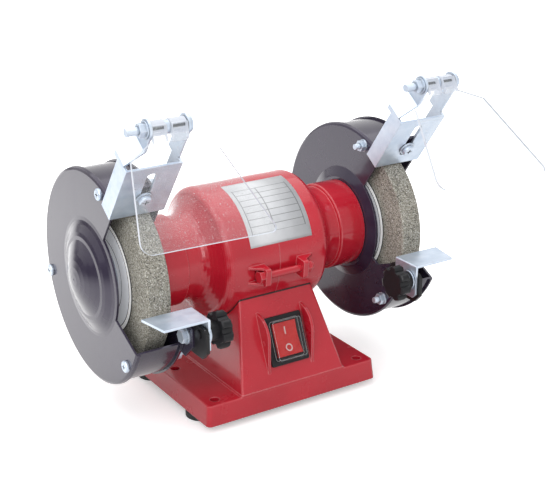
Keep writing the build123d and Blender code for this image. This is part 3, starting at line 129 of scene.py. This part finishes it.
class Finish(Shading):
    """One surface finish: a material with a Principled shader and the nodes that feed it."""

    MIX_FIRST = 6
    MIX_SECOND = 7
    MIX_RESULT = 2

    def __init__(self, name, colour, roughness, metallic=0.0, constants=None):
        self.material = bpy.data.materials.new(name)
        self.material.use_nodes = True
        super().__init__(self.material.node_tree)
        self.shader = self.tree.nodes["Principled BSDF"]
        self.feed("Base Color", colour)
        self.feed("Roughness", roughness)
        self.feed("Metallic", metallic)
        for socket, value in (constants or {}).items():
            self.feed(socket, value)

    def feed(self, socket, value):
        self.set(self.shader.inputs[socket], value)

    def place(self):
        return self.node("ShaderNodeTexCoord", {}, {}, "Object")

    def axis(self, name):
        return self.node("ShaderNodeSeparateXYZ", {}, {0: self.place()}, name)

    def noise(self, per_metre, detail=4.0, rough=0.55, stretch=(1.0, 1.0, 1.0)):
        scaled = self.node("ShaderNodeVectorMath", {"operation": "MULTIPLY"},
                           {0: self.place(), 1: stretch})
        return self.node("ShaderNodeTexNoise", {}, {"Vector": scaled, "Scale": per_metre,
                                                    "Detail": detail, "Roughness": rough})

    def mix(self, factor, first, second):
        sockets = {"Factor": factor, self.MIX_FIRST: first, self.MIX_SECOND: second}
        return self.node("ShaderNodeMix", {"data_type": "RGBA"}, sockets, self.MIX_RESULT)

    def rounded(self, width):
        return self.node("ShaderNodeBevel", {"samples": 4}, {"Radius": width})

    def edges(self, width):
        flat = self.node("ShaderNodeNewGeometry", {}, {}, "Normal")
        match = self.node("ShaderNodeVectorMath", {"operation": "DOT_PRODUCT"},
                          {0: self.rounded(width), 1: flat}, "Value")
        return self.ramp(match, 0.995, 0.93)

    def corners(self, reach, rays):
        return self.node("ShaderNodeAmbientOcclusion", {"samples": rays}, {"Distance": reach}, "AO")

    def from_shaft(self):
        rise = self.axis("Z") - SHAFT_HEIGHT
        depth = self.axis("Y")
        return (rise * rise + depth * depth) ** 0.5

    def bump(self, height, distance, strength=1.0, soften=None):
        sockets = {"Height": height, "Distance": distance, "Strength": strength}
        if soften:
            sockets["Normal"] = self.rounded(soften)
        self.feed("Normal", self.node("ShaderNodeBump", {}, sockets))


def coat(names, finish):
    for name in names:
        for slot in nodes[name].material_slots:
            slot.material = finish.material


def enamel(name, seam_shadow_radius):
    paint = Finish(name, (0.5, 0.01, 0.02), 0.2, 0.0,
                   {"Coat Weight": 0.45, "Coat Roughness": 0.06, "Specular IOR Level": 0.3})
    # Painted highlight: the edges are mixed toward pale pink, as if they caught the light.
    edge_highlight = paint.edges(1.0 * MM)
    # Painted shade: the red is darkened to near-black where ambient occlusion finds corners and
    # crevices.
    crevice_shade = paint.corners(3.0 * MM, 8)
    cloud = paint.ramp(paint.noise(26.0, 3.0), 0.3, 0.7)
    dust = paint.ramp(paint.noise(1500.0, 2.0), 0.66, 0.75)
    # Painted shadow: a near-black, rougher band on the casting just outside the can, standing in
    # for the shadow in the seam.
    seam_shadow = paint.from_shaft() < seam_shadow_radius
    tone = paint.mix(cloud, (0.47, 0.010, 0.024), (0.56, 0.015, 0.032))
    tone = paint.mix(edge_highlight * 0.45, tone, (0.90, 0.34, 0.36))
    tone = paint.mix(paint.ramp(crevice_shade, 0.5, 0.22), tone, (0.10, 0.003, 0.006))
    tone = paint.mix(dust * 0.12, tone, (0.8, 0.5, 0.48))
    paint.feed("Base Color", paint.mix(seam_shadow, tone, (0.02, 0.002, 0.003)))
    paint.feed("Roughness", paint.ramp(paint.noise(60.0), 0.3, 0.7, 0.16, 0.3) + seam_shadow * 0.5)
    paint.bump(paint.noise(420.0, 2.0), 0.06 * MM, 0.5, 1.0 * MM)
    return paint


coat(["base_casting"], enamel("base_enamel", CAN_RADIUS + SEAM_SHADOW_WIDTH))

# The closing plate under the base is black painted sheet held by the four foot screws. The
# feet and the cord grommet are moulded from soft black rubber, dull and dusty in patches.
under_paint = Finish("under_paint", (0.02, 0.02, 0.021), 0.5)
under_paint.bump(under_paint.noise(900.0), 0.05 * MM, 0.4)
coat(["bottom_plate"], under_paint)
rubber = Finish("rubber", (0.018, 0.018, 0.019), 0.7)
bloom = rubber.ramp(rubber.noise(220.0), 0.4, 0.7)
rubber.feed("Base Color", rubber.mix(bloom * 0.5, (0.014, 0.014, 0.015), (0.05, 0.05, 0.048)))
rubber.feed("Roughness", 0.6 + bloom * 0.25)
rubber.bump(rubber.noise(1600.0), 0.08 * MM, 0.5)
FOOT_SPOTS = ("front_left", "front_right", "rear_left", "rear_right")
coat(["foot_" + spot for spot in FOOT_SPOTS], rubber)
coat(["cord_grommet"], rubber)

# The motor housing is two cast halves pulled together by long bolts through painted lugs,
# so bolts, nuts and halves share the enamel of the base.
HOUSING = ("left_motor_shell", "right_motor_shell", "tie_bolts", "tie_nuts")
coat(HOUSING, enamel("red_enamel", 0.0))

# The rating plate is a thin silvery foil wrapped on the upper front of the housing. It is left
# without words: only the ruled table that such plates carry is printed on it, at places given
# as fractions of the foil.
PLATE_HALF = 24.5 * MM
PLATE_SHIFT = 2.5 * MM
PLATE_LOW = math.radians(17.0)
PLATE_HIGH = math.radians(84.0)
PLATE_LIFT = 0.12 * MM
PLATE_THICK = 0.1 * MM
PLATE_STEPS = 26
TABLE_HALF = 0.86
TABLE_LOW = 0.16
TABLE_HIGH = 0.83
ROW_HEIGHT = 0.095
COLUMN_PLACE = -0.12
LINE_HALF = 0.014
RULE_EDGE = 0.455
SIDE_LOW = 0.155
SIDE_HIGH = 0.84


def mesh_piece(name, shape, finish, body, smooth=True):
    mesh = bpy.data.meshes.new(name)
    bmesh.ops.recalc_face_normals(shape, faces=shape.faces)
    for face in shape.faces:
        face.smooth = smooth
    shape.to_mesh(mesh)
    shape.free()
    piece = bpy.data.objects.new(name, mesh)
    bpy.context.scene.collection.objects.link(piece)
    mesh.materials.append(finish.material)
    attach(piece, body)


foil = Finish("foil", (0.8, 0.8, 0.8), 0.35)
across = (foil.axis("X") - PLATE_SHIFT) / PLATE_HALF
turn = foil.node("ShaderNodeMath", {"operation": "ARCTAN2"},
                 {0: foil.axis("Z") - SHAFT_HEIGHT, 1: foil.axis("Y") * -1.0})
along = (turn - PLATE_LOW) / (PLATE_HIGH - PLATE_LOW)
row = foil.node("ShaderNodeMath", {"operation": "FRACT"}, {0: (along - TABLE_LOW) / ROW_HEIGHT})
inside = (abs(across) < TABLE_HALF) * (along > TABLE_LOW) * (along < TABLE_HIGH)
rules = (abs(row - 0.5) > RULE_EDGE) * inside
column = (abs(across - COLUMN_PLACE) < LINE_HALF) * inside
sides = (abs(abs(across) - TABLE_HALF) < LINE_HALF) * (along > SIDE_LOW) * (along < SIDE_HIGH)
ink = foil.limit(rules + column + sides)
wrinkle = foil.noise(90.0, 3.0)
paper_tone = foil.mix(foil.ramp(wrinkle, 0.35, 0.7), (0.66, 0.67, 0.69), (0.56, 0.57, 0.59))
foil.feed("Base Color", foil.mix(ink * 0.7, paper_tone, (0.12, 0.12, 0.13)))
foil.bump(wrinkle, 0.1 * MM, 0.4)
plate = bmesh.new()
edge = [plate.verts.new((PLATE_SHIFT + end * PLATE_HALF, 0.0, CAN_RADIUS + PLATE_LIFT))
        for end in (-1.0, 1.0)]
plate.edges.new(edge)
bmesh.ops.rotate(plate, verts=plate.verts, cent=(0, 0, 0),
                 matrix=Matrix.Rotation(math.pi / 2 - PLATE_LOW, 3, "X"))
bmesh.ops.spin(plate, geom=plate.verts[:] + plate.edges[:], cent=(0, 0, 0), axis=(1, 0, 0),
               angle=PLATE_LOW - PLATE_HIGH, steps=PLATE_STEPS)
bmesh.ops.translate(plate, verts=plate.verts, vec=(0, 0, SHAFT_HEIGHT))
bmesh.ops.solidify(plate, geom=plate.faces[:], thickness=PLATE_THICK)
mesh_piece("rating_plate", plate, foil, "base")

# Inside the housing: laminated cores, enamelled copper windings, ball bearings and the run
# capacitor. They are sealed in and keep plain machine-shop finishes.
laminations = Finish("laminations", (0.22, 0.22, 0.23), 0.45, 0.8)
sheets = laminations.ramp(laminations.noise(30.0, 2.0, 0.5, (60.0, 1.0, 1.0)), 0.35, 0.65)
laminations.feed("Base Color", laminations.mix(sheets, (0.16, 0.16, 0.17), (0.3, 0.3, 0.31)))
coat(["stator_core", "rotor_core"], laminations)
copper = Finish("copper", (0.6, 0.26, 0.1), 0.35, 0.9)
strands = copper.ramp(copper.noise(600.0, 2.0), 0.35, 0.65)
copper.feed("Base Color", copper.mix(strands, (0.45, 0.17, 0.06), (0.75, 0.36, 0.16)))
coat(["stator_windings"], copper)
bright_steel = Finish("bright_steel", (0.56, 0.57, 0.58), 0.25, 1.0)
turning = bright_steel.noise(500.0, 3.0, 0.6, (4.0, 0.3, 0.3))
bright_steel.feed("Roughness", bright_steel.ramp(turning, 0.3, 0.7, 0.18, 0.38))
bright_steel.bump(turning, 0.03 * MM, 0.4)
coat(["shaft", "left_bearing", "right_bearing", "bearing_inner_rings",
      "left_inner_flange", "right_inner_flange"], bright_steel)

# The wheels are bonded grey abrasive: coarse dark and pale grains fired in a dull olive bond,
# open and gritty, with the rim dressed flat. Silvered paper rings sit under the flanges.
stone = Finish("stone", (0.25, 0.24, 0.18), 0.95)
GRAIN_SCALE = 1900.0
PORE_SCALE = 1400.0
cells = {"Vector": stone.place(), "Scale": GRAIN_SCALE}
grain = stone.node("ShaderNodeTexVoronoi", {}, cells, "Color")
tint = stone.node("ShaderNodeSeparateColor", {}, {0: grain})
holes = {"Vector": stone.place(), "Scale": PORE_SCALE}
pores = stone.node("ShaderNodeTexVoronoi", {}, holes, "Distance")
bond = stone.ramp(stone.noise(55.0, 4.0), 0.3, 0.7)
body_tone = stone.mix(bond, (0.29, 0.275, 0.23), (0.37, 0.35, 0.295))
dark_grain = stone.ramp(tint, 0.72, 0.9)
pale_grain = stone.ramp(tint, 0.2, 0.04)
body_tone = stone.mix(dark_grain * 0.9, body_tone, (0.055, 0.05, 0.045))
body_tone = stone.mix(pale_grain * 0.9, body_tone, (0.75, 0.73, 0.68))
stone.feed("Base Color", body_tone)
stone.feed("Roughness", stone.ramp(tint, 0.0, 1.0, 0.8, 1.0))
stone.bump(pores + stone.noise(2600.0, 3.0) * 0.6, 0.35 * MM, 0.9)
coat(["left_wheel", "right_wheel"], stone)
PAPER_RIM = 39.5 * MM
OUTER_LINE = 36.6 * MM
OUTER_HALF = 0.35 * MM
INNER_LINE = 26.0 * MM
INNER_HALF = 0.3 * MM
SILVER_END = 36.0 * MM
# The paper glows faintly in its own printed colour. This is painted light that keeps it bright in
# the shade inside the guard.
paper = Finish("paper_ring", (0.8, 0.8, 0.8), 0.6, 0.0, {"Emission Strength": 0.2})
from_centre = paper.from_shaft()
outer_line = abs(from_centre - OUTER_LINE) < OUTER_HALF
inner_line = abs(from_centre - INNER_LINE) < INNER_HALF
band = (from_centre > PAPER_RIM) + outer_line + inner_line
white = paper.ramp(from_centre, SILVER_END, OUTER_LINE)
silver = paper.mix(white, (0.82, 0.84, 0.88), (0.97, 0.97, 0.96))
print_and_glow = paper.mix(paper.limit(band), silver, (0.05, 0.05, 0.05))
paper.feed("Base Color", print_and_glow)
paper.feed("Emission Color", print_and_glow)
paper.bump(paper.noise(1200.0), 0.04 * MM, 0.4)
coat(["blotters"], paper)

# Outer flanges, nuts, screws, washers, shield brackets and tool rests are pressed or turned
# steel with a bluish zinc plating that dulls in cloudy patches and keeps fine rolling marks.
zinc = Finish("zinc", (0.55, 0.62, 0.76), 0.35, 0.75)
worn = zinc.edges(0.6 * MM)
clouds = zinc.ramp(zinc.noise(95.0, 5.0), 0.32, 0.7)
rolled = zinc.noise(350.0, 3.0, 0.6, (0.15, 1.0, 1.0))
plating = zinc.mix(clouds, (0.52, 0.61, 0.73), (0.68, 0.75, 0.85))
# Painted shade: the plating is darkened toward near-black where ambient occlusion finds hollows,
# threads and slots.
hollow_shade = zinc.ramp(zinc.corners(2.0 * MM, 6), 0.9, 0.3)
plating = zinc.mix(hollow_shade, plating, (0.10, 0.11, 0.12))
zinc.feed("Base Color", zinc.mix(worn * 0.5, plating, (0.82, 0.85, 0.9)))
zinc.feed("Roughness", zinc.ramp(rolled, 0.3, 0.7, 0.3, 0.46) + clouds * 0.08)
zinc.bump(rolled, 0.03 * MM, 0.35, 0.35 * MM)
zinc_nodes = ["foot_screws", "motor_screws", "cover_screws", "cover_nuts", "guard_mount_screws",
              "rest_bolts", "bracket_clamp_screws"]
for side in ("left", "right"):
    for name in ("outer_flange", "arbor_nut", "tool_rest", "rest_washer", "shield_bracket",
                 "axle_bolt", "axle_nut"):
        zinc_nodes.append(side + "_" + name)
coat(zinc_nodes, zinc)

# The guards are drawn sheet steel in semi-gloss dark grey: a dished outer cover, a rolled band
# and an inner plate, clamped by three long screws. Handling leaves faint dull patches.
guard_grey = Finish("guard_grey", (0.03, 0.027, 0.036), 0.25, 0.0,
                    {"Coat Weight": 0.34, "Coat Roughness": 0.08, "Specular IOR Level": 0.36,
                     "Specular Tint": (0.88, 0.84, 1.0)})
rubbed = guard_grey.edges(0.8 * MM)
haze = guard_grey.ramp(guard_grey.noise(38.0, 4.0), 0.3, 0.72)
paint_tone = guard_grey.mix(haze, (0.018, 0.013, 0.030), (0.034, 0.027, 0.050))
guard_grey.feed("Base Color", guard_grey.mix(rubbed * 0.4, paint_tone, (0.16, 0.15, 0.18)))
guard_grey.feed("Roughness", 0.16 + haze * 0.1)
guard_grey.bump(guard_grey.noise(700.0, 2.0), 0.04 * MM, 0.5, 0.5 * MM)
guard_nodes = []
for side in ("left", "right"):
    for name in ("outer_cover", "inner_guard", "guard_band"):
        guard_nodes.append(side + "_" + name)
coat(guard_nodes, guard_grey)

# Each rest hangs on a black painted steel support and is clamped by a star knob moulded in
# black plastic over a steel stud.
support_paint = Finish("support_paint", (0.01, 0.01, 0.011), 0.35, 0.0,
                       {"Specular IOR Level": 0.3})
flakes = support_paint.ramp(support_paint.noise(420.0, 4.0), 0.68, 0.74)
chips = flakes * support_paint.edges(1.0 * MM)
support_paint.feed("Base Color", support_paint.mix(chips, (0.01, 0.01, 0.011), (0.4, 0.4, 0.42)))
support_paint.bump(support_paint.noise(800.0), 0.05 * MM, 0.5, 0.4 * MM)
coat(["left_rest_support", "right_rest_support"], support_paint)
moulding = Finish("moulding", (0.012, 0.012, 0.014), 0.38, 0.0, {"Specular IOR Level": 0.25})
moulding.feed("Roughness", moulding.ramp(moulding.noise(300.0), 0.3, 0.7, 0.3, 0.46))
moulding.bump(moulding.noise(2200.0, 2.0), 0.04 * MM, 0.5, 0.5 * MM)
coat(["left_rest_knob", "right_rest_knob", "switch_body", "capacitor"], moulding)


# Machine threads are rolled on the tails of the long cover screws and of the axle bolts. Each
# shows as a row of fine ridges between its nut and the end of the screw.
THREAD_ROOT = 1.005
THREAD_CREST = 1.12
THREAD_SIDES = 20
COVER_THREAD_START = 77.2 * MM
COVER_THREAD_END = 80.8 * MM
COVER_THREAD_RADIUS = 1.9 * MM
COVER_PITCH = 0.7 * MM
AXLE_THREAD_START = 0.4 * MM
AXLE_THREAD_END = 7.5 * MM
AXLE_THREAD_RADIUS = 2.4 * MM
AXLE_PITCH = 0.8 * MM
SCREW_ANGLES = (70.0, 194.5, 318.5)
SCREW_CIRCLE = 67.0 * MM


def thread(name, start, end, centre, radius, pitch, body):
    shape = bmesh.new()
    turns = int(abs(end - start) / pitch)
    first = min(start, end)
    points = []
    for step in range(2 * turns + 1):
        height = radius * (THREAD_CREST if step % 2 else THREAD_ROOT)
        points.append(shape.verts.new((first + step * pitch / 2, 0.0, height)))
    outline = [shape.edges.new(pair) for pair in zip(points, points[1:])]
    bmesh.ops.spin(shape, geom=points + outline, cent=(0, 0, 0), axis=(1, 0, 0),
                   angle=2 * math.pi, steps=THREAD_SIDES, use_merge=True)
    bmesh.ops.translate(shape, verts=shape.verts, vec=(0, centre[1], centre[2]))
    bmesh.ops.remove_doubles(shape, verts=shape.verts, dist=0.001 * MM)
    mesh_piece(name, shape, zinc, body, False)


for side, sign in (("left", -1.0), ("right", 1.0)):
    for index, angle in enumerate(SCREW_ANGLES):
        swing = math.radians(angle)
        spot = (0, -SCREW_CIRCLE * math.cos(swing), SHAFT_HEIGHT + SCREW_CIRCLE * math.sin(swing))
        thread(f"{side}_cover_thread_{index}", sign * COVER_THREAD_START, sign * COVER_THREAD_END,
               spot, COVER_THREAD_RADIUS, COVER_PITCH, "base")
    low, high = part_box(side + "_axle_bolt")
    thread(side + "_axle_thread", low.x + AXLE_THREAD_START, low.x + AXLE_THREAD_END,
           (low + high) / 2, AXLE_THREAD_RADIUS, AXLE_PITCH, side + "_bracket")

# The rocker is translucent red plastic with the two usual switching marks printed on it: a
# bar at the top and a ring at the bottom. A clear soft cap seals it against dust.
FACE_LEAN = math.radians(21.9)
PIVOT_Y = -52.2 * MM
PIVOT_Z = 48.2 * MM
MARK_RISE = 6.0 * MM
BAR_HALF_WIDTH = 0.45 * MM
BAR_HALF_HEIGHT = 2.6 * MM
RING_RADIUS = 2.2 * MM
RING_HALF_WIDTH = 0.4 * MM
# The rocker glows faintly red. This is painted light standing in for light shining through the
# translucent plastic.
rocker_red = Finish("rocker_red", (0.4, 0.012, 0.012), 0.25, 0.0,
                    {"Emission Color": (0.9, 0.02, 0.01), "Emission Strength": 0.06,
                     "Specular IOR Level": 0.4})
back_way = rocker_red.axis("Y") - PIVOT_Y
up_way = rocker_red.axis("Z") - PIVOT_Z
up = back_way * math.sin(FACE_LEAN) + up_way * math.cos(FACE_LEAN)
outward = up_way * math.sin(FACE_LEAN) - back_way * math.cos(FACE_LEAN)
side_way = rocker_red.axis("X")
bar = (abs(side_way) < BAR_HALF_WIDTH) * (abs(up - MARK_RISE) < BAR_HALF_HEIGHT)
from_ring = (side_way * side_way + (up + MARK_RISE) * (up + MARK_RISE)) ** 0.5
ring = abs(from_ring - RING_RADIUS) < RING_HALF_WIDTH
mark = rocker_red.limit(bar + ring) * (outward > -1.0 * MM)
glow = rocker_red.ramp(rocker_red.noise(160.0), 0.3, 0.7)
rocker_tone = rocker_red.mix(glow, (0.55, 0.012, 0.014), (0.72, 0.03, 0.026))
rocker_red.feed("Base Color", rocker_red.mix(mark * 0.9, rocker_tone, (0.85, 0.78, 0.78)))
coat(["switch_rocker"], rocker_red)
clear = Finish("clear_cap", (0.1, 0.1, 0.1), 0.08, 0.0, {"Specular IOR Level": 1.0})
gleam = clear.node("ShaderNodeLayerWeight", {}, {"Blend": 0.3}, "Facing")
# Painted highlight: the cap's edges are pale and more opaque, as if they caught the light.
rim_highlight = clear.edges(0.6 * MM)
clear.feed("Base Color", clear.mix(rim_highlight, (0.06, 0.06, 0.065), (0.85, 0.86, 0.88)))
cover = 0.06 + gleam * 0.18 + rim_highlight * 0.7 + clear.noise(300.0) * 0.04
clear.feed("Alpha", clear.limit(cover))
coat(["switch_cap"], clear)

# The eye shields are 2 mm clear sheet, sawn and flame-polished; their edges are painted pale and
# given a glow, a painted highlight for the light that gathers in polished edges.
# Sparks and wiping leave fine scratches and specks.
SHIELD_LEAN = {"left": math.radians(9.0), "right": math.radians(30.0)}
for side, lean in SHIELD_LEAN.items():
    sheet = Finish(side + "_clear_sheet", (0.9, 0.93, 0.96), 0.05, 0.0,
                   {"Specular IOR Level": 0.8, "Emission Strength": 1.0})
    facing = sheet.node("ShaderNodeTexCoord", {}, {}, "Normal")
    flat = sheet.node("ShaderNodeVectorMath", {"operation": "DOT_PRODUCT"},
                      {0: facing, 1: (0.0, math.cos(lean), -math.sin(lean))}, "Value")
    # Painted highlight: the sheet's edges are pale, nearly opaque and glowing.
    edge_glow = sheet.limit(sheet.ramp(abs(flat), 0.97, 0.90) + sheet.edges(0.6 * MM))
    grazing = sheet.node("ShaderNodeLayerWeight", {}, {"Blend": 0.25}, "Fresnel")
    scratch = sheet.ramp(sheet.noise(700.0, 2.0, 0.5, (0.05, 1.0, 1.0)), 0.71, 0.75)
    speck = sheet.ramp(sheet.noise(1100.0, 2.0), 0.66, 0.71)
    marks = sheet.limit(scratch * 0.35 + speck * 0.7)
    alpha = 0.07 + grazing * 0.1 + marks * 0.6 + edge_glow * 0.8
    sheet.feed("Base Color", sheet.mix(edge_glow, (0.9, 0.93, 0.96), (0.3, 0.32, 0.36)))
    sheet.feed("Alpha", sheet.limit(alpha))
    sheet.feed("Roughness", sheet.ramp(marks, 0.0, 1.0, 0.04, 0.5))
    sheet.feed("Emission Color", sheet.mix(edge_glow, (0.0, 0.0, 0.0), (0.34, 0.36, 0.40)))
    coat([side + "_eye_shield"], sheet)

# The studio is a pale floor, a white surround and three large soft lights. The floor and the
# surround are white to the camera and in glossy reflections and dimmer as lights, and the floor
# mirrors darker in front and far to the left, as an unlit room would.
scene = bpy.context.scene
scene.view_settings.view_transform = "Standard"
FLOOR_HALF = 12.0
FRONT_SHADE = 0.3
LEFT_SHADE = 0.95
floor_finish = Finish("floor", (0.9, 0.9, 0.9), 0.9)
ground = bmesh.new()
bmesh.ops.create_grid(ground, x_segments=1, y_segments=1, size=FLOOR_HALF)
floor_mesh = bpy.data.meshes.new("floor")
ground.to_mesh(floor_mesh)
ground.free()
floor = bpy.data.objects.new("floor", floor_mesh)
floor_mesh.materials.append(floor_finish.material)
scene.collection.objects.link(floor)


def ray(shading, kind):
    return shading.node("ShaderNodeLightPath", {}, {}, "Is " + kind + " Ray")


def background_rays(shading):
    kinds = ("Camera", "Glossy", "Transmission")
    camera, glossy, through = [ray(shading, kind) for kind in kinds]
    return shading.limit(camera + glossy + through)


seen = background_rays(floor_finish)
far = floor_finish.node("ShaderNodeVectorMath", {"operation": "LENGTH"},
                        {0: floor_finish.place()}, "Value")
fade = floor_finish.ramp(far, 0.0, 0.45, 0.25, 1.0)
front = floor_finish.ramp(floor_finish.axis("Y"), 0.06, -0.10)
left = floor_finish.ramp(floor_finish.axis("X"), -0.35, -0.75)
mirrored = ray(floor_finish, "Glossy")
shade = mirrored * floor_finish.limit(front * FRONT_SHADE + left * LEFT_SHADE)
glow_share = seen * fade * (1.0 - shade)
floor_white = floor_finish.mix(shade, (0.95, 0.95, 0.95), (0.1, 0.1, 0.1))
floor_glow = floor_finish.mix(glow_share, (0.0, 0.0, 0.0), (1.0, 1.0, 1.0))
floor_finish.feed("Base Color", floor_finish.mix(seen, (0.5, 0.5, 0.5), floor_white))
floor_finish.feed("Emission Strength", 1.0)
floor_finish.feed("Emission Color", floor_glow)

world = bpy.data.worlds.new("surround")
scene.world = world
world.use_nodes = True
surround = Shading(world.node_tree)
backdrop = world.node_tree.nodes["Background"]
power = surround.ramp(background_rays(surround), 0.0, 1.0, 0.5, 1.0)
surround.set(backdrop.inputs["Color"], (1.0, 1.0, 1.0))
surround.set(backdrop.inputs["Strength"], power)


def lamp(name, place, target, size, watts):
    data = bpy.data.lights.new(name, "AREA")
    data.shape = "RECTANGLE"
    data.size, data.size_y = size
    data.energy = watts
    made = bpy.data.objects.new(name, data)
    made.location = place
    made.rotation_euler = (Vector(target) - Vector(place)).to_track_quat("-Z", "Y").to_euler()
    scene.collection.objects.link(made)


LIT_POINT = (0, 0, 0.1)
lamp("key", (-0.85, -0.35, 1.0), LIT_POINT, (1.4, 1.4), 10.0)
lamp("fill", (-0.6, -1.1, 0.75), LIT_POINT, (0.4, 1.0), 5.0)
lamp("top", (0.1, 0.35, 1.2), LIT_POINT, (2.0, 1.2), 8.0)

# The camera stands in front, to the left and a little above, with a long lens, aimed at the
# middle of the pedestal below the motor.
AZIMUTH = math.radians(-32.9)
ELEVATION = math.radians(20.9)
DISTANCE = 0.88
SENSOR_WIDTH = 36.0
LENS = 78.54
AIM = Vector((0.0294, 0.0, 0.089))
back = Vector((math.sin(AZIMUTH) * math.cos(ELEVATION), -math.cos(AZIMUTH) * math.cos(ELEVATION),
               math.sin(ELEVATION)))
camera_data = bpy.data.cameras.new("camera")
camera_data.sensor_width = SENSOR_WIDTH
camera_data.lens = LENS
camera = bpy.data.objects.new("camera", camera_data)
camera.location = AIM + back * DISTANCE
camera.rotation_euler = (-back).to_track_quat("-Z", "Y").to_euler()
scene.collection.objects.link(camera)
scene.camera = camera
